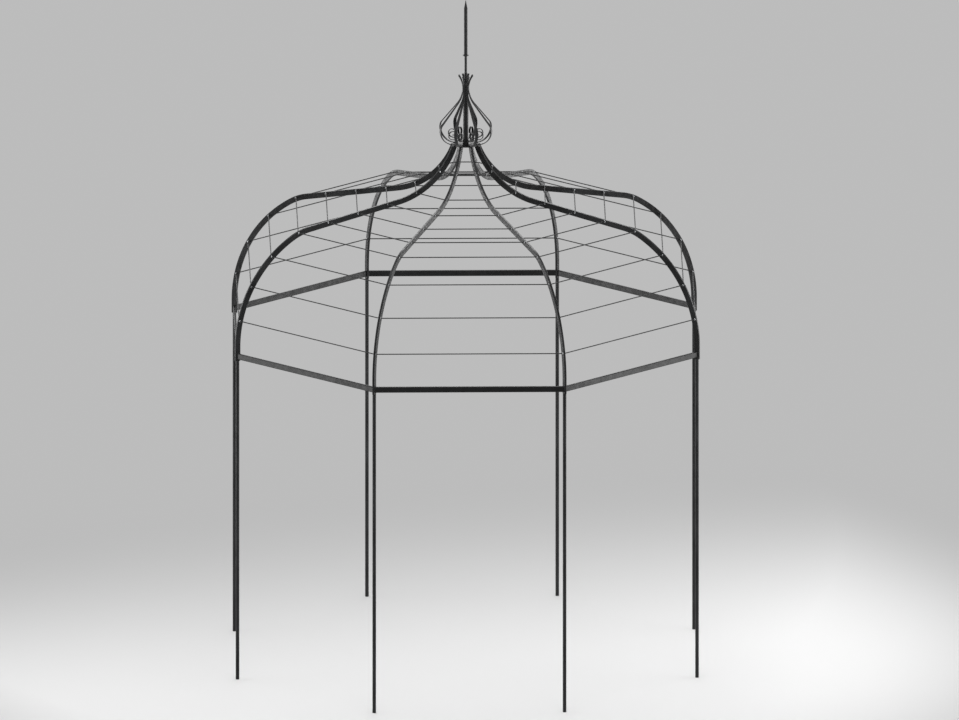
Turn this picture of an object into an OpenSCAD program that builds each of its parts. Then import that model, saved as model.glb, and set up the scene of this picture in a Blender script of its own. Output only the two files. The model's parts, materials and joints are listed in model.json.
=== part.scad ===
// Open octagonal garden pavilion in wrought iron.
// Eight slender posts carry a ring beam, and from every corner a flat bar rises as an ogee rib to a
// hub plate. Nine rings of wire stiffen the ribs, and above the hub stands an onion crown of eight
// bent strips with scrolls inside it, topped by a spear finial.
// Millimetres, +Z up, origin on the ground at the centre of the octagon. Flat sides face +-X and +-Y.

/* [Plan and height] */
// Distance from the centre to the middle of each corner post
corner_r = 1650; // [1400:10:2000]
// Clear height from the ground to the underside of the ring beam
clear_h = 2194; // [1900:1:2700]

/* [Posts] */
// Diameter of the round bar
post_d = 24; // [18:1:30]

/* [Ring beam] */
// Height of the bar on edge
beam_h = 40; // [30:1:60]
// Thickness of the bar
beam_w = 15; // [12:1:25]
// Radius of the bar's rounded edges
beam_edge = 5; // [1:0.5:5.5]

/* [Ribs] */
// Depth of the flat bar in the plane of its curve
rib_d = 37; // [28:1:44]
// Thickness of the flat bar
rib_w = 15; // [12:1:20]
// How far the foot of a rib runs down below the ring beam to meet the post
foot_drop = 10; // [4:1:40]
// Upright stretch of a rib above the underside of the ring beam
foot_rise = 81; // [45:1:160]
// Radius of the wide shoulder bend
shoulder_r = 830; // [600:10:900]
// Steepness of the rib where the shoulder ends and the brow begins
shoulder_end = 31; // [25:1:45]
// Radius of the tighter brow bend
brow_r = 347; // [200:1:400]
// Slope of the straight stretch of the roof
roof_slope = 10.6; // [5:0.1:18]
// Radius of the hollow sweep up to the hub
sweep_r = 536; // [400:1:580]
// Steepness of the rib where it meets the hub
sweep_end = 70; // [60:1:80]

/* [Wire rings] */
// Diameter of the wire
wire_d = 7; // [4:0.5:8]
// Rings on the shoulder of the dome
shoulder_rings = 4; // [3:1:4]
// Rings on the roof above the shoulder
roof_rings = 5; // [3:1:6]
// Distance between shoulder rings, measured along the rib
shoulder_pitch = 240; // [200:1:250]
// Length of rib left between the highest ring and the hub
hub_gap = 200; // [150:1:300]
// How far outside the middle of the rib's depth the wires cross it
wire_out = 8; // [0:0.5:10]
// Depth of the sockets that hold the wire ends in the sides of the ribs
wire_seat = 4; // [2:0.5:5]

/* [Hub] */
// Diameter of the round plate that joins the ribs
hub_d = 172; // [150:1:220]
// Thickness of the plate
hub_t = 6; // [5:1:14]
// Distance from the centre to the middle of a rib's top end
hub_reach = 82; // [70:1:95]

/* [Crown] */
// Diameter of the post inside the onion
crown_post_d = 36; // [26:1:40]
// Thickness of the bent strips
strip_t = 5; // [3:0.5:6]
// Width of a strip at its foot
strip_foot_w = 15; // [10:1:20]
// Width of a strip at the belly of the onion
strip_belly_w = 24; // [18:1:32]
// Gap between the inner edges of neighbouring bars where they stand close round the crown post
neck_gap = 1.4; // [0.6:0.1:4]
// Distance from the centre at which a strip leaves the hub plate and its belly bend begins
belly_start_r = 84; // [75:1:90]
// Radius of the belly bend
belly_r = 98; // [80:1:110]
// Turn of the belly bend, from level outward to leaning inward
belly_turn = 104.6; // [95:0.1:115]
// Radius of the tighter bend above the belly
cheek_r = 33; // [20:1:80]
// Lean of a strip from the upright on its way in to the neck
neck_lean = 39.6; // [34:0.1:45]
// Radius of the bend into the neck
neck_bend_r = 169; // [120:1:210]
// Radius of the bend out to the tips
flare_bend_r = 139; // [100:1:200]
// Lean of the tips from the upright
flare_lean = 38; // [20:1:50]

/* [Scrolls] */
// Thickness of the scroll bar
scroll_t = 4; // [3:0.5:6]
// Outer radius of a scroll, to the middle of its bar
scroll_r = 28; // [22:1:31]
// Distance from the centre of the crown to the middle of a scroll
scroll_reach = 95; // [85:1:100]
// Height of the middle of a scroll above the hub plate
scroll_rise = 65; // [55:1:70]
// Share of its radius that a scroll keeps at each of its inner quarter turns
scroll_tighten = 0.82; // [0.75:0.01:0.9]
// Slope of the arm that carries a scroll out from the crown post
arm_slope = 12; // [5:1:16]

/* [Finial] */
// Diameter of the rod
rod_d = 17; // [10:1:20]
// Diameter of the rod's thicker foot, inside the flared tips
rod_foot_d = 20; // [16:1:24]
// Length of the thicker foot
rod_foot_h = 104; // [80:1:140]
// Length of the rod from the neck to the collar
rod_h = 221; // [180:1:300]
// Diameter of the collar under the spear
collar_d = 40; // [30:1:60]
// Thickness of the collar
collar_t = 8; // [3:1:12]
// Diameter of the spear's shaft
spear_d = 24; // [15:1:30]
// Length of the spear's shaft
spear_h = 313; // [200:5:500]
// Length of the spear's point
point_h = 62; // [40:1:100]
// Diameter of the blunted tip
tip_d = 1; // [0.5:0.5:5]

/* [Hidden] */
sides = 8;
// Angle between neighbouring corners, and half of it
bay = 360 / sides;
half_bay = bay / 2;
// Gap left at every welded seat, and all round a wire end in its socket
seat = 0.2;
wire_fit = 0.3;
// Turn of the bends from one facet to the next
rib_facet = 2.5;
strip_facet = 6;
scroll_facet = 15;
// Turn of each bend of a scroll
scroll_turn = 90;
// Larger than the whole pavilion, for cutting half-spaces
far = 6000;
$fn = 48;

// A path is walked from a state [radius, height, heading], where a heading of 0 points outward and
// 90 points up, along stretches [length, turn] that each bend evenly.
function arc_len(r, turn) = r * abs(turn) * PI / 180;
function chord(len, turn) = turn == 0 ? len : len * sin(turn / 2) / (turn / 2 * PI / 180);
function walk(p, s, part = 1) =
    let (c = chord(s[0] * part, s[1] * part), dir = p[2] + s[1] * part / 2)
    [p[0] + c * cos(dir), p[1] + c * sin(dir), p[2] + s[1] * part];
function path_len(path, i = 0) = i == len(path) ? 0 : path[i][0] + path_len(path, i + 1);
function along(p, path, d, i = 0) =
    d <= path[i][0] || i == len(path) - 1
        ? walk(p, path[i], d / path[i][0])
        : along(walk(p, path[i]), path, d - path[i][0], i + 1);
function states(p, path, facet, i = 0) =
    i == len(path) ? [p] :
    let (n = max(1, ceil(abs(path[i][1]) / facet)))
    concat([for (k = [0:n - 1]) walk(p, path[i], k / n)],
           states(walk(p, path[i]), path, facet, i + 1));

// Rib: up from the foot, over the shoulder and the brow, along the slope and up the sweep
shoulder_turn = 90 - shoulder_end;
brow_turn = shoulder_end - roof_slope;
sweep_turn = sweep_end - roof_slope;
bends_in = shoulder_r * (1 - sin(shoulder_end)) + brow_r * (sin(shoulder_end) - sin(roof_slope))
    + sweep_r * (sin(sweep_end) - sin(roof_slope));
slope_len = (corner_r - hub_reach - bends_in) / cos(roof_slope);
foot_z = clear_h - foot_drop;
rib_start = [corner_r, foot_z, 90];
rib_path = [
    [foot_drop + foot_rise, 0],
    [arc_len(shoulder_r, shoulder_turn), shoulder_turn],
    [arc_len(brow_r, brow_turn), brow_turn],
    [slope_len, 0],
    [arc_len(sweep_r, sweep_turn), -sweep_turn],
];
rib_len = path_len(rib_path);
hub_z = along(rib_start, rib_path, rib_len)[1];

// Distance of each wire ring along the rib, from the middle of the ring beam upward
rings = shoulder_rings + roof_rings;
beam_mid = foot_drop + beam_h / 2;
last_shoulder = beam_mid + shoulder_rings * shoulder_pitch;
roof_pitch = (rib_len - hub_gap - last_shoulder) / roof_rings;
function ring_at(i) = i <= shoulder_rings ? beam_mid + i * shoulder_pitch
                                          : last_shoulder + (i - shoulder_rings) * roof_pitch;
function ring_middle(i) =
    let (s = along(rib_start, rib_path, ring_at(i)))
    [s[0] + wire_out * sin(s[2]), s[1] - wire_out * cos(s[2])];

// Crown strip: out over the hub plate, round the belly and the cheek, in to the neck and out to
// the tip
hub_top = hub_z + hub_t;
neck_r = crown_post_d / 2 + seat + strip_t / 2;
// Widest flat bar of which one fits against the crown post in every bay
close_w = (crown_post_d + 2 * seat) * tan(half_bay) - neck_gap;
cheek_turn = 90 + neck_lean - belly_turn;
lean_r = belly_start_r + belly_r * sin(belly_turn) - cheek_r * (sin(belly_turn) - cos(neck_lean));
lean_len = (lean_r - neck_r - neck_bend_r * (1 - cos(neck_lean))) / sin(neck_lean);
flare_len = arc_len(flare_bend_r, flare_lean);
strip_start = [hub_reach - rib_d / 2, hub_top + seat + strip_t / 2, 0];
strip_path = [
    [belly_start_r - strip_start[0], 0],
    [arc_len(belly_r, belly_turn), belly_turn],
    [arc_len(cheek_r, cheek_turn), cheek_turn],
    [lean_len, 0],
    [arc_len(neck_bend_r, neck_lean), -neck_lean],
    [flare_len, -flare_lean],
];
belly_z = strip_start[1] + belly_r;
neck_z = along(strip_start, strip_path, path_len(strip_path) - flare_len)[1];

// Scroll: an arm rising from the crown post, half a turn of even bend, then two tighter quarters
scroll_z = hub_top + scroll_rise;
arm_r = crown_post_d / 2 + seat + scroll_t / 2 * sin(arm_slope);
arm_end_r = scroll_reach + scroll_r * sin(arm_slope);
arm_end_z = scroll_z - scroll_r * cos(arm_slope);
arm_len = (arm_end_r - arm_r) / cos(arm_slope);
arm_z = arm_end_z - arm_len * sin(arm_slope);
scroll_path = concat(
    [[arm_len, 0]],
    [for (inner = [0, 0, 1, 2])
        [arc_len(scroll_r * pow(scroll_tighten, inner), scroll_turn), scroll_turn]]
);

collar_z = neck_z + rod_h;

// Turns what stands on the +X side to corner i, counted anticlockwise from the one after +X
module at_corner(i) {
    rotate([0, 0, (i - 0.5) * bay]) children();
}

// Turns what stands on the +X side to the bay between corners i and i + 1
module at_bay(i) {
    rotate([0, 0, i * bay]) children();
}

// Flat bar bent on edge: follows the path in the XZ plane, t thick there and w wide across it
module bent_bar(start, path, t, w, facet) {
    line = states(start, path, facet);
    side = [for (s = line) [s[0] - t / 2 * sin(s[2]), s[1] + t / 2 * cos(s[2])]];
    other = [for (s = line) [s[0] + t / 2 * sin(s[2]), s[1] - t / 2 * cos(s[2])]];
    last = len(line) - 1;
    rotate([90, 0, 0])
        linear_extrude(w, center = true)
            polygon(concat(side, [for (k = [0:last]) other[last - k]]));
}

// Everything between the two ribs of the bay that faces +X, kept clear of their sides by the seat
module bay_space() {
    apex = (rib_w / 2 + seat) / sin(half_bay);
    translate([apex, 0, 0])
        linear_extrude(far)
            polygon([[0, 0], far * [cos(half_bay), -sin(half_bay)],
                     far * [cos(half_bay), sin(half_bay)]]);
}

module post() {
    color("#34373a")
        translate([corner_r, 0, 0])
            cylinder(d = post_d, h = foot_z - seat);
}

module beam_section() {
    square([beam_w - 2 * beam_edge, beam_h], center = true);
    square([beam_w, beam_h - 2 * beam_edge], center = true);
    for (x = [-1, 1], y = [-1, 1])
        translate([x * (beam_w / 2 - beam_edge), y * (beam_h / 2 - beam_edge)])
            circle(r = beam_edge);
}

module ring_beam() {
    color("#3b3f42")
        intersection() {
            translate([corner_r * cos(half_bay), 0, clear_h + beam_h / 2])
                rotate([90, 0, 0])
                    linear_extrude(2 * corner_r * sin(half_bay), center = true)
                        beam_section();
            bay_space();
        }
}

// Blind hole in the side of a rib for the end of a wire, along the chord that the wire follows
module wire_socket(ring, hand) {
    middle = ring_middle(ring);
    bottom = rib_w / 2 / cos(half_bay) - wire_seat - wire_fit;
    translate([middle[0], 0, middle[1]])
        rotate([0, 90, hand * (90 + half_bay)])
            translate([0, 0, bottom])
                cylinder(d = wire_d + 2 * wire_fit, h = rib_w);
}

module rib() {
    color("#2c2f32")
        difference() {
            intersection() {
                bent_bar(rib_start, concat(rib_path, [[rib_d, 0]]), rib_d, rib_w, rib_facet);
                translate([0, -rib_w, 0]) cube([far, 2 * rib_w, hub_z - seat]);
            }
            for (ring = [1:rings], hand = [-1, 1])
                wire_socket(ring, hand);
        }
}

// Eight straight wires, one across each bay, that together make one ring
module wire_ring(ring) {
    middle = ring_middle(ring);
    half_len = middle[0] * sin(half_bay) - rib_w / 2 / cos(half_bay) + wire_seat;
    color("#4a4d50")
        for (i = [1:sides])
            at_bay(i)
                translate([middle[0] * cos(half_bay), -half_len, middle[1]])
                    rotate([-90, 0, 0])
                        cylinder(d = wire_d, h = 2 * half_len);
}

module hub_plate() {
    color("#3b3f42")
        translate([0, 0, hub_z])
            cylinder(d = hub_d, h = hub_t, $fn = 96);
}

module crown_post() {
    color("#2c2f32")
        translate([0, 0, hub_top + seat])
            cylinder(d = crown_post_d, h = neck_z - hub_top - seat);
}

// Half of a strip's front outline, from its foot to its tip
function strip_half_width() = [
    [strip_foot_w / 2, 0],
    [strip_foot_w / 2, strip_start[1]],
    [strip_belly_w / 2, belly_z],
    [close_w / 2, neck_z - neck_bend_r * sin(neck_lean)],
    [close_w / 2, far],
];

module crown_strip() {
    outline = strip_half_width();
    last = len(outline) - 1;
    color("#33363a")
        intersection() {
            bent_bar(strip_start, strip_path, strip_t, strip_belly_w, strip_facet);
            rotate([90, 0, 90])
                linear_extrude(far)
                    polygon(concat(outline, [for (k = [0:last]) [-outline[last - k][0],
                                                                 outline[last - k][1]]]));
        }
}

module crown_scroll() {
    bent_bar([arm_r, arm_z, arm_slope], scroll_path, scroll_t, close_w, scroll_facet);
}

module crown_scrolls() {
    color("#33363a")
        for (i = [1:sides])
            at_corner(i) crown_scroll();
}

// Rod with a thicker foot that stands on the crown post between the flared tips
module finial_rod() {
    color("#3b3f42")
        translate([0, 0, neck_z + seat]) {
            cylinder(d = rod_foot_d, h = rod_foot_h - seat);
            cylinder(d = rod_d, h = rod_h - 2 * seat);
        }
}

module finial_spear() {
    color("#26282a")
        translate([0, 0, collar_z]) {
            cylinder(d = collar_d, h = collar_t);
            cylinder(d = spear_d, h = collar_t + spear_h);
            translate([0, 0, collar_t + spear_h])
                cylinder(d1 = spear_d, d2 = tip_d, h = point_h);
        }
}

for (i = [1:sides]) {
    at_corner(i) post();
    at_bay(i) ring_beam();
    at_corner(i) rib();
    at_corner(i) crown_strip();
}
for (i = [1:rings])
    wire_ring(i);
hub_plate();
crown_post();
crown_scrolls();
finial_rod();
finial_spear();
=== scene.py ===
import json
import math

import bpy
import numpy as np
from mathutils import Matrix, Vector

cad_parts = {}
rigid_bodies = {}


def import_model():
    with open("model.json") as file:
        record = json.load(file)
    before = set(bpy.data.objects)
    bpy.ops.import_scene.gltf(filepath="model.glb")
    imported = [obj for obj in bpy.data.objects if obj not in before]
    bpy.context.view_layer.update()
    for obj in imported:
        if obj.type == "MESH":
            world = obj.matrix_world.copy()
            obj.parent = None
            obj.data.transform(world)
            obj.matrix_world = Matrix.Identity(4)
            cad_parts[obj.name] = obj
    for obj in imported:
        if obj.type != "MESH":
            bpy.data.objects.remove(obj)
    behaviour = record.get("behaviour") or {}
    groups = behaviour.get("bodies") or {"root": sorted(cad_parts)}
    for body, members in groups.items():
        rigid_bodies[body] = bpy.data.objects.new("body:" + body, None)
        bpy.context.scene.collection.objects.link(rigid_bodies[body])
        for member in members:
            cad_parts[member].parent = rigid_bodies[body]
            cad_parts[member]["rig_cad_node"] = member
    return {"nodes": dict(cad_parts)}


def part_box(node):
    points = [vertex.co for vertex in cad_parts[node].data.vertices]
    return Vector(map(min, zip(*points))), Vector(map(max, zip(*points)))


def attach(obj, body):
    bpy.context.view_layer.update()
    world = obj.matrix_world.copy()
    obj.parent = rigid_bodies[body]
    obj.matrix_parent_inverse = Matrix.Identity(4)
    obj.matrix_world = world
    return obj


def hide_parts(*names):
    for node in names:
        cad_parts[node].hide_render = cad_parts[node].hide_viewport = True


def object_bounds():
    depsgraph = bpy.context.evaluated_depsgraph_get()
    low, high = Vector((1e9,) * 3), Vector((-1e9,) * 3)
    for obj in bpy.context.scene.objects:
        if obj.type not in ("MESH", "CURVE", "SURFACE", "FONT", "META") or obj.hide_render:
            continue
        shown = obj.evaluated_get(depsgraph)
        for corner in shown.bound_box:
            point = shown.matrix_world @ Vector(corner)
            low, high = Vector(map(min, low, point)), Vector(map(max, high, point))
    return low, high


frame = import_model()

iron_nodes = frame["nodes"]
cad_low, cad_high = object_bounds()


# ---- Viewpoint ---------------------------------------------------------------------------------
# The pavilion stands free and is seen from outside one bay, from a little above eye level and from
# far off, so that all upright bars stay parallel.

frame_width = 6.362
aim_right, aim_height = 0.0912, 2.0165
view_distance, view_limit = 14, 60
azimuth, elevation = math.radians(-0.912), math.radians(14.67)
middle_height = (cad_low.z + cad_high.z) / 2
towards_viewer = Vector((math.sin(azimuth) * math.cos(elevation),
                         -math.cos(azimuth) * math.cos(elevation),
                         math.sin(elevation)))
camera = bpy.data.objects.new("camera", bpy.data.cameras.new("camera"))
bpy.context.scene.collection.objects.link(camera)
bpy.context.scene.camera = camera
camera.data.type = "ORTHO"
camera.data.ortho_scale = frame_width
camera.data.shift_x = aim_right / frame_width
camera.data.shift_y = (aim_height - middle_height) * math.cos(elevation) / frame_width
camera.data.clip_end = view_limit
camera.location = Vector((0, 0, middle_height)) + view_distance * towards_viewer
camera.rotation_mode = "QUATERNION"
camera.rotation_quaternion = (-towards_viewer).to_track_quat("-Z", "Y")


# ---- Studio ------------------------------------------------------------------------------------
# A level floor in pale plaster white, lit by broad soft lamps on both sides and overhead. It runs
# into a plain light grey backdrop that stands a little aslant, so the floor fades sooner at the left.

bpy.context.scene.view_settings.view_transform = "Standard"
backdrop_grey = (0.505, 0.505, 0.505, 1)
floor_white = (0.88, 0.88, 0.88, 1)
ambient_light = 0.12
floor_reach, floor_drop = 60, 0.0005
# each fade: its centre, its stretch along X, Y and Z, and the distances where it starts and stops
fade_aslant = (2.8, -5.4, 0), (1, 1, 1), 5.45, 10.2
fade_all_round = (0, -0.5, 0), (1.45, 1, 1), 3.0, 6.3


def highest(tree, values):
    """The highest of some values of a shader."""
    best = values[0]
    for other in values[1:]:
        pick = tree.nodes.new("ShaderNodeMath")
        pick.operation = "MAXIMUM"
        tree.links.new(best, pick.inputs[0])
        tree.links.new(other, pick.inputs[1])
        best = pick.outputs[0]
    return best


def seen_directly(tree):
    """1 for camera, glossy and transmission rays and 0 for the rest."""
    path = tree.nodes.new("ShaderNodeLightPath").outputs
    return highest(tree, [path[f"Is {kind} Ray"] for kind in ("Camera", "Glossy", "Transmission")])


def faded(tree, centre, stretch, start, stop):
    """0 up to a distance start from the centre and 1 beyond stop, with a smooth step between them.
    Each coordinate of the place is multiplied by its stretch before the distance is taken."""
    place = tree.nodes.new("ShaderNodeTexCoord")
    oval = tree.nodes.new("ShaderNodeVectorMath")
    oval.operation = "MULTIPLY"
    tree.links.new(place.outputs["Object"], oval.inputs[0])
    oval.inputs[1].default_value = stretch
    reach = tree.nodes.new("ShaderNodeVectorMath")
    reach.operation = "DISTANCE"
    tree.links.new(oval.outputs["Vector"], reach.inputs[0])
    reach.inputs[1].default_value = centre
    step = tree.nodes.new("ShaderNodeMapRange")
    step.interpolation_type = "SMOOTHSTEP"
    step.inputs["From Min"].default_value = start
    step.inputs["From Max"].default_value = stop
    tree.links.new(reach.outputs["Value"], step.inputs["Value"])
    return step.outputs["Result"]


world = bpy.data.worlds.new("studio")
bpy.context.scene.world = world
world.use_nodes = True
tree = world.node_tree
shown, ambient = tree.nodes["Background"], tree.nodes.new("ShaderNodeBackground")
shown.inputs["Color"].default_value = backdrop_grey
shown.inputs["Strength"].default_value = 1
ambient.inputs["Color"].default_value = (1, 1, 1, 1)
ambient.inputs["Strength"].default_value = ambient_light
either = tree.nodes.new("ShaderNodeMixShader")
tree.links.new(seen_directly(tree), either.inputs[0])
tree.links.new(ambient.outputs[0], either.inputs[1])
tree.links.new(shown.outputs[0], either.inputs[2])
tree.links.new(either.outputs[0], tree.nodes["World Output"].inputs["Surface"])

plaster = bpy.data.materials.new("floor_plaster")
plaster.use_nodes = True
tree = plaster.node_tree
lit = tree.nodes["Principled BSDF"]
lit.inputs["Base Color"].default_value = floor_white
lit.inputs["Roughness"].default_value = 0.9
lit.inputs["Specular IOR Level"].default_value = 0.1
share = tree.nodes.new("ShaderNodeMath")
share.operation = "MULTIPLY"
gone = highest(tree, [faded(tree, *fade) for fade in (fade_aslant, fade_all_round)])
tree.links.new(gone, share.inputs[0])
tree.links.new(seen_directly(tree), share.inputs[1])
far_off = tree.nodes.new("ShaderNodeEmission")
far_off.inputs["Color"].default_value = backdrop_grey
either = tree.nodes.new("ShaderNodeMixShader")
tree.links.new(share.outputs[0], either.inputs[0])
tree.links.new(lit.outputs[0], either.inputs[1])
tree.links.new(far_off.outputs[0], either.inputs[2])
tree.links.new(either.outputs[0], tree.nodes["Material Output"].inputs["Surface"])

turn = np.linspace(0, 2 * np.pi, 96, endpoint=False)
floor_rim = np.stack([floor_reach * np.cos(turn), floor_reach * np.sin(turn), 0 * turn - floor_drop],
                     axis=-1)
floor_mesh = bpy.data.meshes.new("floor")
floor_mesh.from_pydata(floor_rim, [], [list(range(len(turn)))])
floor_mesh.materials.append(plaster)
floor = bpy.data.objects.new("floor", floor_mesh)
bpy.context.scene.collection.objects.link(floor)


def soft_lamp(name, place, aim, width, height, watts):
    """A rectangular lamp of even brightness that shines from place towards aim."""
    lamp = bpy.data.objects.new(name, bpy.data.lights.new(name, "AREA"))
    lamp.data.shape = "RECTANGLE"
    lamp.data.size, lamp.data.size_y = width, height
    lamp.data.energy = watts
    lamp.location = place
    lamp.rotation_mode = "QUATERNION"
    lamp.rotation_quaternion = (Vector(aim) - Vector(place)).to_track_quat("-Z", "Y")
    lamp.visible_camera = False
    bpy.context.scene.collection.objects.link(lamp)


soft_lamp("lamp_left", (-5.5, 0.2, 1.9), (0, 0.2, 1.9), 4.6, 3.4, 170)
soft_lamp("lamp_right", (5.5, 0.2, 1.9), (0, 0.2, 1.9), 4.6, 3.4, 188)
soft_lamp("lamp_behind", (0, 5.8, 6.9), (0, 0, 3.0), 5.0, 3.6, 210)
soft_lamp("lamp_back_left", (-4.1, 4.1, 2.5), (0, 0, 2.7), 2.6, 1.8, 42)
soft_lamp("lamp_back_right", (4.1, 4.1, 2.5), (0, 0, 2.7), 2.6, 1.8, 42)
soft_lamp("lamp_above", (0, -2.2, 8.4), (0, -1.6, 0), 5.0, 5.0, 225)
soft_lamp("lamp_front", (0, -6.0, 5.0), (0, -3.0, 0), 6.0, 3.0, 110)


# ---- Posts -------------------------------------------------------------------------------------
# Eight round bars of hot-rolled iron stand upright at the corners, cut square and set straight on
# the ground. They are brushed with satin anthracite paint, in which the rolling skin still shows.

post_radius = (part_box("post_1")[1].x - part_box("post_1")[0].x) / 2
post_middle = (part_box("post_1")[0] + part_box("post_1")[1]) / 2
corner_radius = math.hypot(post_middle.x, post_middle.y)


def painted_iron(name, grey, satin, dent_size, dent_depth, metallic=0.0):
    """Satin paint over forged iron, or bare metal where metallic is 1. The colour is the grey times
    a slow drift from place to place and a fine fleck, and up to eight times lighter in patches
    where handling has thinned it along the edges; the roughness wanders round satin; the bump adds
    shallow hammer dents, of the given size and depth in metres, and a fine brushed grain."""
    paint = bpy.data.materials.new(name)
    paint.use_nodes = True
    tree = paint.node_tree
    new, join = tree.nodes.new, tree.links.new
    shader = tree.nodes["Principled BSDF"]
    shader.inputs["Metallic"].default_value = metallic
    shader.inputs["Specular IOR Level"].default_value = 0.25
    place = new("ShaderNodeTexCoord").outputs["Object"]

    def noise(per_metre, detail, rough=0.5):
        node = new("ShaderNodeTexNoise")
        node.inputs["Scale"].default_value = per_metre
        node.inputs["Detail"].default_value = detail
        node.inputs["Roughness"].default_value = rough
        join(place, node.inputs["Vector"])
        return node.outputs["Fac"]

    def spread(value, low, high, start=0.3, stop=0.7):
        node = new("ShaderNodeMapRange")
        node.inputs["From Min"].default_value = start
        node.inputs["From Max"].default_value = stop
        node.inputs["To Min"].default_value = low
        node.inputs["To Max"].default_value = high
        join(value, node.inputs["Value"])
        return node.outputs["Result"]

    drift, fleck, patches = noise(4.5, 3), noise(900, 2, 0.7), noise(26, 5, 0.7)
    product = new("ShaderNodeMath")
    product.operation = "MULTIPLY"
    join(spread(drift, 0.35, 1.75), product.inputs[0])
    join(spread(fleck, 0.6, 1.4), product.inputs[1])
    on_edge = new("ShaderNodeAttribute")
    on_edge.attribute_name = "edge_wear"
    thinned = new("ShaderNodeMath")
    thinned.operation = "MULTIPLY_ADD"
    join(on_edge.outputs["Fac"], thinned.inputs[0])
    join(spread(patches, 0, 7, 0.45, 0.7), thinned.inputs[1])
    thinned.inputs[2].default_value = 1
    worn = new("ShaderNodeMath")
    worn.operation = "MULTIPLY"
    join(product.outputs[0], worn.inputs[0])
    join(thinned.outputs[0], worn.inputs[1])
    tint = new("ShaderNodeVectorMath")
    tint.operation = "SCALE"
    tint.inputs[0].default_value = grey
    join(worn.outputs[0], tint.inputs["Scale"])
    join(tint.outputs["Vector"], shader.inputs["Base Color"])
    join(spread(noise(30, 5, 0.6), satin - 0.11, satin + 0.13), shader.inputs["Roughness"])

    dents = new("ShaderNodeTexVoronoi")
    dents.feature = "SMOOTH_F1"
    dents.inputs["Scale"].default_value = 1 / dent_size
    dents.inputs["Smoothness"].default_value = 0.9
    join(place, dents.inputs["Vector"])
    hammered = new("ShaderNodeBump")
    hammered.inputs["Strength"].default_value = 1
    hammered.inputs["Distance"].default_value = dent_depth
    join(dents.outputs["Distance"], hammered.inputs["Height"])
    grain = new("ShaderNodeBump")
    grain.inputs["Strength"].default_value = 0.7
    grain.inputs["Distance"].default_value = 0.0003
    join(noise(420, 3, 0.6), grain.inputs["Height"])
    join(hammered.outputs["Normal"], grain.inputs["Normal"])
    join(grain.outputs["Normal"], shader.inputs["Normal"])
    return paint


def finish_with(piece, paint):
    """Puts the paint in every material slot of a piece and lets it stand still."""
    if not piece.data.materials:
        piece.data.materials.append(paint)
    for k in range(len(piece.data.materials)):
        piece.data.materials[k] = paint
    if "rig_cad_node" not in piece:
        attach(piece, "root")


anthracite = (0.013, 0.0133, 0.0137)
rolled_iron = painted_iron("rolled_bar_paint", anthracite, 0.42, 0.03, 0.0008)
for corner in range(1, 9):
    finish_with(iron_nodes[f"post_{corner}"], rolled_iron)


# ---- Ring beam ---------------------------------------------------------------------------------
# Eight flat bars on edge close the octagon above the doorways. Their edges are rounded by rolling,
# and each end is cut to the angle of the corner and welded to the side of a rib.

beam_iron = painted_iron("ring_beam_paint", (0.007, 0.0072, 0.0074), 0.3, 0.04, 0.0008)
for bay in range(1, 9):
    finish_with(iron_nodes[f"ring_beam_{bay}"], beam_iron)
beam_low, beam_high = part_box("ring_beam_8")


# ---- Ribs --------------------------------------------------------------------------------------
# Eight flat bars bent on edge: upright from the post, over a wide shoulder and a tighter brow, along
# a shallow slope and up a hollow sweep to the hub. Hammering has left soft edges and faint dents.

rib_depth, rib_width, rib_edge = 0.037, 0.015, 0.0022
rib_foot, rib_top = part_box("rib_1")[0].z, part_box("rib_1")[1].z
rib_upright = 0.091
shoulder_radius, shoulder_end = 0.830, 31.0
brow_radius, roof_slope = 0.347, 10.6
sweep_radius, sweep_end = 0.536, 70.0
hub_reach = 0.082
rib_step, last_stretch = 0.009, 0.02


def bend_line(start, stretches, step):
    """Line of a bent bar in a plane, from [radius, height, heading]. Each stretch [length, turn in
    degrees] bends evenly, so its points lie on an arc of radius length over turn, or on a straight
    where the turn is 0. Gives arrays of radius, height and heading at stations a step apart."""
    r, z, heading = start[0], start[1], math.radians(start[2])
    parts = []
    for length, degrees in stretches:
        bend = math.radians(degrees)
        s = np.linspace(0, 1, max(3, math.ceil(length / step)))
        h = heading + bend * s
        if bend:
            arc = length / bend
            parts.append([r + arc * (np.sin(h) - math.sin(heading)),
                          z - arc * (np.cos(h) - math.cos(heading)), h])
        else:
            parts.append([r + length * s * math.cos(h[0]), z + length * s * math.sin(h[0]), h])
        r, z, heading = (values[-1] for values in parts[-1])
    first = [parts[0]] + [[values[1:] for values in part] for part in parts[1:]]
    return np.concatenate(first, axis=1)


def rounded_section(corner_points):
    """Once round a rectangle with rounded corners: for every point the signs of its corner, and the
    cosine and sine of its direction, which is the direction of the surface there as well."""
    quarter = np.linspace(0, np.pi / 2, corner_points)
    a = (np.arange(4)[:, None] * np.pi / 2 + quarter).ravel()
    middle = np.repeat(np.arange(4) * np.pi / 2 + np.pi / 4, corner_points)
    return np.sign(np.cos(middle)), np.sign(np.sin(middle)), np.cos(a), np.sin(a)


def bar_rings(line, depth, width, edge, corner_points=4):
    """Rounded rectangle carried along a line in the XZ plane: depth lies in the plane and width
    along Y, each half less the edge radius to the corner's centre, plus the edge radius round it.
    Gives points and surface directions as arrays of stations by section points by 3."""
    r, z, h = (values[:, None] for values in line)
    su, sv, cu, cv = rounded_section(corner_points)
    half_width = np.broadcast_to(np.asarray(width), line.shape[1:])[:, None] / 2
    u = su * (depth / 2 - edge) + edge * cu
    v = -(sv * (half_width - edge) + edge * cv)
    points = np.stack([r - u * np.sin(h), v + 0 * r, z + u * np.cos(h)], axis=-1)
    outward = np.stack([-cu * np.sin(h), -cv + 0 * r, cu * np.cos(h)], axis=-1)
    return points, outward


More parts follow.
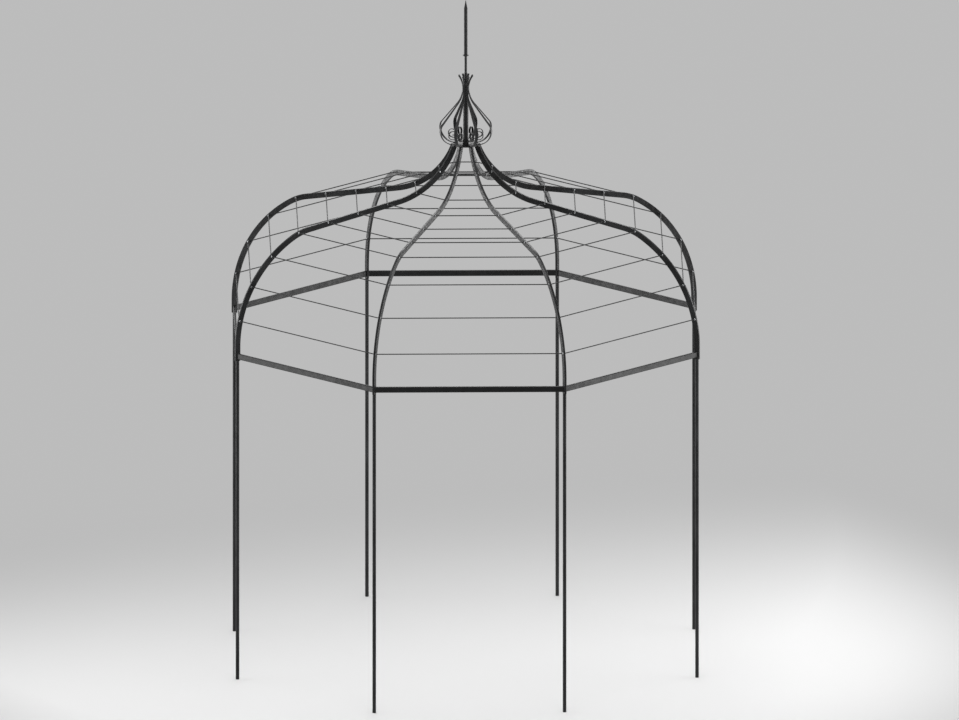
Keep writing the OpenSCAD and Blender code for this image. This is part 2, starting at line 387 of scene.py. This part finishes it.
def skin(name, rings, outward, ends, edges=None, closed=False):
    """One mesh over parts by rings by points by 3: four-sided faces join each ring to the next, and
    a flat face closes each end, or the last ring joins the first where closed. Every face corner is
    shaded by the surface direction given for its point, and the flat ends by theirs. Edges, one
    value from 0 to 1 for each point of a ring, says where the piece wears."""
    count, n, m = rings.shape[:3]
    part = np.arange(count)[:, None, None] * n * m
    i = np.arange(n if closed else n - 1)[None, :, None]
    j = np.arange(m)[None, None, :]
    i2, j2 = (i + 1) % n, (j + 1) % m
    quads = np.stack([part + i * m + j, part + i * m + j2, part + i2 * m + j2, part + i2 * m + j],
                     axis=-1).reshape(-1, 4)
    shading = outward.reshape(-1, 3)[quads.ravel()]
    faces = quads.tolist()
    if not closed:
        low = (part[:, 0] + np.arange(m)[::-1]).reshape(count, m)
        high = (part[:, 0] + (n - 1) * m + np.arange(m)).reshape(count, m)
        faces += low.tolist() + high.tolist()
        shading = np.concatenate([shading] + [np.repeat(e, m, axis=0) for e in ends])
    mesh = bpy.data.meshes.new(name)
    mesh.from_pydata(rings.reshape(-1, 3), [], faces)
    mesh.polygons.foreach_set("use_smooth", np.ones(len(faces), bool))
    mesh.normals_split_custom_set(shading)
    wear = np.zeros(m) if edges is None else np.asarray(edges, float)
    mesh.attributes.new("edge_wear", "FLOAT", "POINT").data.foreach_set(
        "value", np.tile(wear, count * n))
    piece = bpy.data.objects.new(name, mesh)
    bpy.context.scene.collection.objects.link(piece)
    return piece


def worn_corners(corner_points=4):
    """Wear round a rounded section: the sine of twice the angle, so 1 at the middle of each rounded
    corner and 0 where it meets the flats."""
    return np.tile(np.sin(2 * np.linspace(0, np.pi / 2, corner_points)), 4)


def to_corners(points, corners=range(1, 9)):
    """Copies of what stands on the +X side, turned about the Z axis to each corner, corner 1 being
    half a bay past +X: x and y turn by the angle and z stays."""
    a = (np.array(list(corners)) - 0.5) * np.pi / 4
    c, s = (f(a).reshape((-1,) + (1,) * (points.ndim - 1)) for f in (np.cos, np.sin))
    x, y, z = points[..., 0], points[..., 1], points[..., 2]
    return np.stack([c * x - s * y, s * x + c * y, 0 * c + z], axis=-1)


shoulder_turn, brow_turn = 90 - shoulder_end, shoulder_end - roof_slope
sweep_turn = sweep_end - roof_slope
rise, fall = math.sin(math.radians(shoulder_end)), math.sin(math.radians(roof_slope))
bends_in = (shoulder_radius * (1 - rise) + brow_radius * (rise - fall)
            + sweep_radius * (math.sin(math.radians(sweep_end)) - fall))
slope_length = (corner_radius - hub_reach - bends_in) / math.cos(math.radians(roof_slope))
rib_line = bend_line([corner_radius, rib_foot, 90], [
    [rib_upright, 0],
    [shoulder_radius * math.radians(shoulder_turn), shoulder_turn],
    [brow_radius * math.radians(brow_turn), brow_turn],
    [slope_length, 0],
    [sweep_radius * math.radians(sweep_turn), -sweep_turn],
], rib_step)
kept = rib_line[1] < rib_top - last_stretch
rib_line = np.concatenate([rib_line[:, kept], rib_line[:, -1:]], axis=1)
rib_points, rib_outward = bar_rings(rib_line, rib_depth, rib_width, rib_edge)
end_heading = rib_line[2, -1]
climb = (rib_top - rib_points[-1, :, 2]) / math.sin(end_heading)
rib_points[-1] += climb[:, None] * [math.cos(end_heading), 0, math.sin(end_heading)]

hammered_iron = painted_iron("rib_paint", anthracite, 0.34, 0.022, 0.0012)
level_ends = [[[0, 0, -1.0]], [[0, 0, 1.0]]]
for corner in range(1, 9):
    rib = skin(f"rib_bar_{corner}", to_corners(rib_points, [corner]),
               to_corners(rib_outward, [corner]), level_ends, worn_corners())
    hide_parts(f"rib_{corner}")
    finish_with(rib, hammered_iron)


# ---- Wire rings --------------------------------------------------------------------------------
# Nine rings of drawn wire, straight across every bay, tie the ribs together. A short bright sleeve
# of bare zinc closes each hole where a wire meets the side of a rib.

wire_iron = painted_iron("wire_paint", anthracite, 0.45, 0.05, 0.0001)
for ring in range(1, 10):
    finish_with(iron_nodes[f"wire_ring_{ring}"], wire_iron)

wire_radius = 0.0035
half_bay = np.pi / 8
boxes = [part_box(f"wire_ring_{ring}") for ring in range(1, 10)]
ring_height = np.array([(low.z + high.z) / 2 for low, high in boxes])
ring_radius = np.array([high.x - wire_radius for low, high in boxes]) / math.cos(half_bay)
sleeve_profile = np.array([[0.0026, 0.0072], [0.0072, 0.0072], [0.008, 0.0064],
                           [0.0084, 0.0038]])


def sleeves():
    """Turned sleeves round the wires: a profile of distance along the wire from the rib's middle
    plane and radius about it, at every ring and on both sides of a rib. Gives points and surface
    directions as parts by rings by points by 3, for the rib on the +X side."""
    a = np.linspace(0, 2 * np.pi, 12, endpoint=False)
    along, radius = sleeve_profile[:, 0, None], sleeve_profile[:, 1, None]
    slope = np.gradient(sleeve_profile[:, 1]) / np.gradient(sleeve_profile[:, 0])
    slope[0] = 0
    lean = np.arctan(-slope)[:, None]
    both_hands = []
    for hand in (1, -1):
        ahead = np.array([-math.sin(half_bay), hand * math.cos(half_bay), 0])
        aside = np.array([math.cos(half_bay), hand * math.sin(half_bay), 0])
        a_hand = a * -hand
        round_it = (np.cos(a_hand)[:, None] * aside + np.sin(a_hand)[:, None] * [0, 0, 1.0])
        points = (along / math.cos(half_bay))[..., None] * ahead + radius[..., None] * round_it
        surface = np.cos(lean)[..., None] * round_it + np.sin(lean)[..., None] * ahead
        start = np.stack([ring_radius, 0 * ring_radius, ring_height], axis=-1)
        both_hands.append((start[:, None, None] + points,
                           np.broadcast_to(surface, (len(start),) + surface.shape),
                           np.broadcast_to(ahead, (len(start), 3))))
    return [np.concatenate(parts) for parts in zip(*both_hands)]


zinc = painted_iron("bare_zinc", (0.42, 0.427, 0.435), 0.42, 0.01, 0.0002, metallic=1.0)
sleeve_points, sleeve_outward, sleeve_axis = sleeves()
for corner in range(1, 9):
    ends = to_corners(sleeve_axis, [corner])[0]
    piece = skin(f"wire_sleeves_{corner}", to_corners(sleeve_points, [corner])[0],
                 to_corners(sleeve_outward, [corner])[0], [-ends, ends])
    finish_with(piece, zinc)


# ---- Hub ---------------------------------------------------------------------------------------
# A round plate of flat iron with a softened rim lies level on the cut tops of the eight ribs. It is
# welded to each of them and carries the crown.

hub_low, hub_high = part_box("hub_plate")
plate_rim = 0.0016


def rounded_profile(corners, rounding, arc_points=5):
    """Outline of a turned piece from its corners [radius, height]: straight between them, and round
    each inner one an arc of the given radius that is tangent to both sides. The first and the last
    corner stay as they are. Gives the points, and the directions square to the outline there."""
    corners, spots, facing = np.array(corners, float), [], []
    ahead = np.diff(corners, axis=0)
    ahead /= np.linalg.norm(ahead, axis=1)[:, None]
    normal = np.stack([ahead[:, 1], -ahead[:, 0]], axis=-1)
    spots.append(corners[:1])
    facing.append(normal[:1])
    for k in range(1, len(corners) - 1):
        bend = math.acos(float(np.clip(ahead[k - 1] @ ahead[k], -1, 1)))
        inward = rounding * math.tan(bend / 2)
        side = math.copysign(1, ahead[k - 1][0] * ahead[k][1] - ahead[k - 1][1] * ahead[k][0])
        middle = corners[k] - inward * ahead[k - 1] - side * rounding * normal[k - 1]
        share = np.linspace(0, 1, arc_points)[:, None]
        mixed = np.sin((1 - share) * bend) * normal[k - 1] + np.sin(share * bend) * normal[k]
        mixed /= math.sin(bend)
        spots.append(middle + side * rounding * mixed)
        facing.append(mixed)
    spots.append(corners[-1:])
    facing.append(normal[-1:])
    return np.concatenate(spots), np.concatenate(facing)


def turned(name, corners, rounding, around=64):
    """Surface of revolution about the Z axis: radius times the cosine and sine of the angle give x
    and y, and the outline gives the radius and the height, from the bottom up."""
    outline, square = rounded_profile(corners, rounding)
    a = np.linspace(0, 2 * np.pi, around, endpoint=False)
    spin = np.stack([np.cos(a), np.sin(a)], axis=-1)[None]
    rings = np.concatenate([outline[:, None, :1] * spin,
                            np.broadcast_to(outline[:, None, 1:], (len(outline), around, 1))], -1)
    outward = np.concatenate([square[:, None, :1] * spin,
                              np.broadcast_to(square[:, None, 1:], (len(outline), around, 1))], -1)
    return skin(name, rings[None], outward[None], level_ends)


plate = turned("hub_disc", [
    [hub_high.x - 2 * plate_rim, hub_low.z], [hub_high.x, hub_low.z],
    [hub_high.x, hub_high.z], [hub_high.x - 2 * plate_rim, hub_high.z],
], plate_rim, 96)
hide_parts("hub_plate")
finish_with(plate, beam_iron)


# ---- Crown post --------------------------------------------------------------------------------
# A short length of thicker round bar stands upright on the middle of the plate, inside the onion.
# Its top is the neck, where the eight strips are gathered against it and welded.

crown_iron = painted_iron("crown_paint", anthracite, 0.38, 0.018, 0.0006)
finish_with(iron_nodes["crown_post"], crown_iron)
crown_post_radius = (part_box("crown_post")[1].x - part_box("crown_post")[0].x) / 2
neck_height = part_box("crown_post")[1].z


# ---- Onion strips ------------------------------------------------------------------------------
# Eight bent strips of thin flat iron make the onion: each starts on the plate, swells round the
# belly, leans in to the post at the neck and flares out again to a plain tip. They are widest at
# the belly.

seat_gap, side_gap = 0.0002, 0.0014
strip_thickness, strip_edge, strip_step = 0.005, 0.0014, 0.005
foot_width, belly_width = 0.015, 0.024
neck_width = 2 * (crown_post_radius + seat_gap) * math.tan(half_bay) - side_gap
belly_from, belly_radius, belly_turn = 0.084, 0.098, 104.6
cheek_radius, neck_lean = 0.033, 39.6
neck_radius, flare_radius, flare_lean = 0.169, 0.139, 38.0

strip_foot = hub_reach - rib_depth / 2
strip_height = hub_high.z + seat_gap + strip_thickness / 2
neck_reach = crown_post_radius + seat_gap + strip_thickness / 2
belly_sine = math.sin(math.radians(belly_turn))
lean_sine, lean_cosine = math.sin(math.radians(neck_lean)), math.cos(math.radians(neck_lean))
lean_reach = belly_from + belly_radius * belly_sine - cheek_radius * (belly_sine - lean_cosine)
lean_length = (lean_reach - neck_reach - neck_radius * (1 - lean_cosine)) / lean_sine
cheek_turn = 90 + neck_lean - belly_turn
strip_line = bend_line([strip_foot, strip_height, 0], [
    [belly_from - strip_foot, 0],
    [belly_radius * math.radians(belly_turn), belly_turn],
    [cheek_radius * math.radians(cheek_turn), cheek_turn],
    [lean_length, 0],
    [neck_radius * math.radians(neck_lean), -neck_lean],
    [flare_radius * math.radians(flare_lean), -flare_lean],
], strip_step)
strip_widths = np.interp(
    strip_line[1],
    [strip_height, strip_height + belly_radius, neck_height - neck_radius * lean_sine],
    [foot_width, belly_width, neck_width])
strip_points, strip_outward = bar_rings(strip_line, strip_thickness, strip_widths, strip_edge)
tip_heading = strip_line[2, -1]
strip_ends = (np.array([[-1.0, 0, 0]]),
              np.array([[math.cos(tip_heading), 0, math.sin(tip_heading)]]))
for corner in range(1, 9):
    strip = skin(f"onion_strip_{corner}", to_corners(strip_points, [corner]),
                 to_corners(strip_outward, [corner]),
                 [to_corners(e, [corner])[0] for e in strip_ends], worn_corners())
    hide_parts(f"crown_strip_{corner}")
    finish_with(strip, crown_iron)


# ---- Scrolls -----------------------------------------------------------------------------------
# Eight small scrolls of thin flat bar fill the bays of the onion. Each rises on an arm from the foot
# of the crown post, swings round at the belly and rolls up in two tighter quarter turns.

scroll_thickness, scroll_edge, scroll_step = 0.004, 0.0012, 0.0035
scroll_radius, scroll_reach, scroll_rise = 0.028, 0.095, 0.065
scroll_tighten, arm_slope = 0.82, 12.0

arm_sine, arm_cosine = math.sin(math.radians(arm_slope)), math.cos(math.radians(arm_slope))
arm_start = crown_post_radius + seat_gap + scroll_thickness / 2 * arm_sine
arm_length = (scroll_reach + scroll_radius * arm_sine - arm_start) / arm_cosine
arm_height = hub_high.z + scroll_rise - scroll_radius * arm_cosine - arm_length * arm_sine
quarters = [[scroll_radius * scroll_tighten ** k * math.pi / 2, 90] for k in (0, 0, 1, 2)]
scroll_line = bend_line([arm_start, arm_height, arm_slope], [[arm_length, 0]] + quarters,
                        scroll_step)
scroll_points, scroll_outward = bar_rings(scroll_line, scroll_thickness, neck_width, scroll_edge)
inner_heading = scroll_line[2, -1]
scroll_ends = [to_corners(np.array([-arm_cosine, 0, -arm_sine])),
               to_corners(np.array([math.cos(inner_heading), 0, math.sin(inner_heading)]))]
scrolls = skin("onion_scrolls", to_corners(scroll_points), to_corners(scroll_outward), scroll_ends,
               worn_corners())
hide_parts("crown_scrolls")
finish_with(scrolls, crown_iron)


# ---- Finial ------------------------------------------------------------------------------------
# A turned rod with a thicker foot rises from the neck between the flared tips. On its collar stands
# the spear: a straight shaft that ends in a long blunted point.

rod_low, rod_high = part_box("finial_rod")
spear_low, spear_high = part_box("finial_spear")
rod_radius, rod_foot_length, rod_rounding, rod_inset = 0.0085, 0.104, 0.001, 0.003
collar_height, shaft_radius, point_length, tip_radius = 0.008, 0.012, 0.062, 0.0005
spear_rounding, spear_inset = 0.0015, 0.004

rod_foot_top = neck_height + rod_foot_length
rod = turned("turned_rod", [
    [rod_high.x - rod_inset, rod_low.z], [rod_high.x, rod_low.z], [rod_high.x, rod_foot_top],
    [rod_radius, rod_foot_top], [rod_radius, rod_high.z], [rod_radius - rod_inset, rod_high.z],
], rod_rounding, 48)
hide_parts("finial_rod")
finish_with(rod, crown_iron)

spear_shoulder = spear_high.z - point_length
spear = turned("turned_spear", [
    [spear_high.x - spear_inset, spear_low.z], [spear_high.x, spear_low.z],
    [spear_high.x, spear_low.z + collar_height], [shaft_radius, spear_low.z + collar_height],
    [shaft_radius, spear_shoulder], [tip_radius, spear_high.z],
], spear_rounding, 48)
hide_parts("finial_spear")
finish_with(spear, crown_iron)


# ---- Welds -------------------------------------------------------------------------------------
# Every bar is joined by an electric weld run round its seat in one low rippled bead, and painted
# over with the iron. The beads are small, so from a few steps away a joint reads as one clean line.

corner_bead, hub_bead, post_bead, strip_bead, scroll_bead = 0.0022, 0.0018, 0.003, 0.0013, 0.0011
bead_step = 0.45
drop_length, drop_least, drop_swell = 0.004, 0.875, 0.25
beam_thickness, beam_corner = 0.015, 0.005
rim_margin = 0.002
half_gap = seat_gap / 2


def spaced_round(outline, step):
    """Points a step apart round closed outlines in space (parts by points by 3): straight lines
    join the given points, and each coordinate is read off against the distance walked."""
    closed = np.concatenate([outline, outline[:, :1]], axis=1)
    walked = np.linalg.norm(np.diff(closed[0], axis=0), axis=1).cumsum()
    walked = np.concatenate([[0], walked])
    s = np.linspace(0, walked[-1], max(16, round(walked[-1] / step)), endpoint=False)
    before = np.clip(np.searchsorted(walked, s, side="right") - 1, 0, len(walked) - 2)
    share = ((s - walked[before]) / np.diff(walked)[before])[:, None]
    return (1 - share) * closed[:, before] + share * closed[:, before + 1]


def weld_bead(name, loops, upright, radius, paint):
    """Beads of weld metal along closed loops (parts by points by 3) on flats that face upright
    (parts by 3). The section is a circle square to the loop. Its radius swells and thins by an
    eighth from drop to drop: the least share plus the swell times the size of a sine."""
    loops = spaced_round(loops, radius * bead_step)
    n = loops.shape[1]
    steps = np.roll(loops, -1, axis=1) - loops
    ahead = steps + np.roll(steps, 1, axis=1)
    ahead /= np.linalg.norm(ahead, axis=-1, keepdims=True)
    up = np.broadcast_to(np.asarray(upright, float)[:, None], ahead.shape)
    aside = np.cross(ahead, up)
    a = np.linspace(0, 2 * np.pi, 8, endpoint=False)[:, None]
    around = np.cos(a) * aside[:, :, None] - np.sin(a) * up[:, :, None]
    drops = max(3, round(float(np.linalg.norm(steps[0], axis=-1).sum()) / drop_length))
    swell = drop_least + drop_swell * np.abs(np.sin(np.pi * drops * np.arange(n) / n))
    points = loops[:, :, None] + radius * swell[:, None, None] * around
    bead = skin(name, points, around, None, closed=True)
    finish_with(bead, paint)


def flat_outline(depth, width, edge):
    """Rounded rectangle in a plane, as two rows of coordinates, along depth and along width."""
    su, sv, cu, cv = rounded_section(5)
    return su * (depth / 2 - edge) + edge * cu, sv * (width / 2 - edge) + edge * cv


away, sideways, upward = np.eye(3)
seat_turn = np.linspace(0, 2 * np.pi, 48, endpoint=False)
seat_x = post_radius * np.cos(seat_turn)
seat_y = np.clip(post_radius * np.sin(seat_turn), -rib_width / 2, rib_width / 2)
post_seat = np.stack([corner_radius + seat_x, seat_y, 0 * seat_turn + rib_foot - half_gap], axis=-1)
weld_bead("post_welds", to_corners(post_seat), np.tile(upward, (8, 1)), corner_bead,
          hammered_iron)

beam_u, beam_v = flat_outline(beam_thickness, beam_high.z - beam_low.z, beam_corner)
seat_side = rib_width / 2 + half_gap
beam_x = corner_radius - seat_side * math.tan(half_bay) + beam_u / math.cos(half_bay)
beam_z = (beam_low.z + beam_high.z) / 2 + beam_v
for hand, name in ((1, "beam_welds_ahead"), (-1, "beam_welds_behind")):
    beam_seat = np.stack([beam_x, 0 * beam_x + hand * seat_side, beam_z], axis=-1)
    weld_bead(name, to_corners(beam_seat), to_corners(hand * sideways), corner_bead,
              hammered_iron)

top_u, top_v = flat_outline(rib_depth / math.sin(math.radians(sweep_end)), rib_width, rib_edge)
plate_edge = np.sqrt(hub_high.x ** 2 - top_v ** 2)
hub_seat = np.stack([np.minimum(hub_reach + top_u, plate_edge), top_v,
                     0 * top_u + rib_top + half_gap], axis=-1)
weld_bead("hub_welds", to_corners(hub_seat), np.tile(upward, (8, 1)), hub_bead, hammered_iron)

post_ring = np.stack([crown_post_radius * np.cos(seat_turn), crown_post_radius * np.sin(seat_turn),
                      0 * seat_turn + hub_high.z + half_gap], axis=-1)
weld_bead("crown_post_weld", post_ring[None], upward[None], post_bead, crown_iron)

bead_end = hub_high.x - rim_margin
foot_u, foot_v = flat_outline(bead_end - strip_foot, foot_width, strip_edge)
strip_seat = np.stack([(bead_end + strip_foot) / 2 + foot_u, foot_v,
                       0 * foot_u + hub_high.z + half_gap], axis=-1)
weld_bead("strip_welds", to_corners(strip_seat), np.tile(upward, (8, 1)), strip_bead, crown_iron)

arm_u, arm_v = flat_outline(scroll_thickness / arm_cosine, neck_width, scroll_edge)
arm_seat = np.stack([np.sqrt(crown_post_radius ** 2 - arm_v ** 2), arm_v, arm_height + arm_u],
                    axis=-1)
weld_bead("scroll_welds", to_corners(arm_seat), to_corners(away), scroll_bead, crown_iron)
